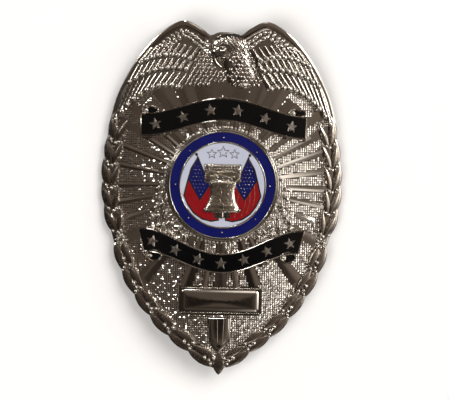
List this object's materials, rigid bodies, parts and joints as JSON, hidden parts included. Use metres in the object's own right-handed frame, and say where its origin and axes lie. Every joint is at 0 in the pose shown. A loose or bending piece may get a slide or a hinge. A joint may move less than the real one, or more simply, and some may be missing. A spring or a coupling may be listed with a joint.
{
  "type": "police shield badge",
  "caption": "Bowed cast shield badge with a spread eagle, leaf border, sunburst rays, black enamel ribbons with stars, an enamelled seal and a pin clasp behind.",
  "frame": {"origin": "under the middle of the badge, at the height of the lowest points of its bowed side edges, which it rests on face up", "axes": "+X across the badge to the viewer's right, +Y up the badge towards the eagle, +Z out of the face"},
  "size_m": [0.057, 0.0826, 0.0085],
  "materials": {
    "bright_plate": "polished nickel plate over a cast body, grained between the rays",
    "black_enamel": "glossy black enamel, flush with its rims",
    "navy_enamel": "glossy translucent deep blue enamel",
    "blue_enamel": "glossy dark blue enamel with small silver dots",
    "white_enamel": "glossy cool white enamel",
    "red_enamel": "glossy red enamel",
    "clasp_metal": "plain nickel-plated steel"
  },
  "bodies": {
    "root": {"shield_body": "bright_plate", "seal_disc": "bright_plate", "seal_ring_enamel": "navy_enamel", "seal_field_enamel": "white_enamel", "canton_left": "blue_enamel", "canton_right": "blue_enamel", "stripes_left": "red_enamel", "stripes_right": "red_enamel", "upper_ribbon_enamel": "black_enamel", "lower_ribbon_enamel": "black_enamel", "pin_clasp": "clasp_metal"}
  },
  "joints": []
}
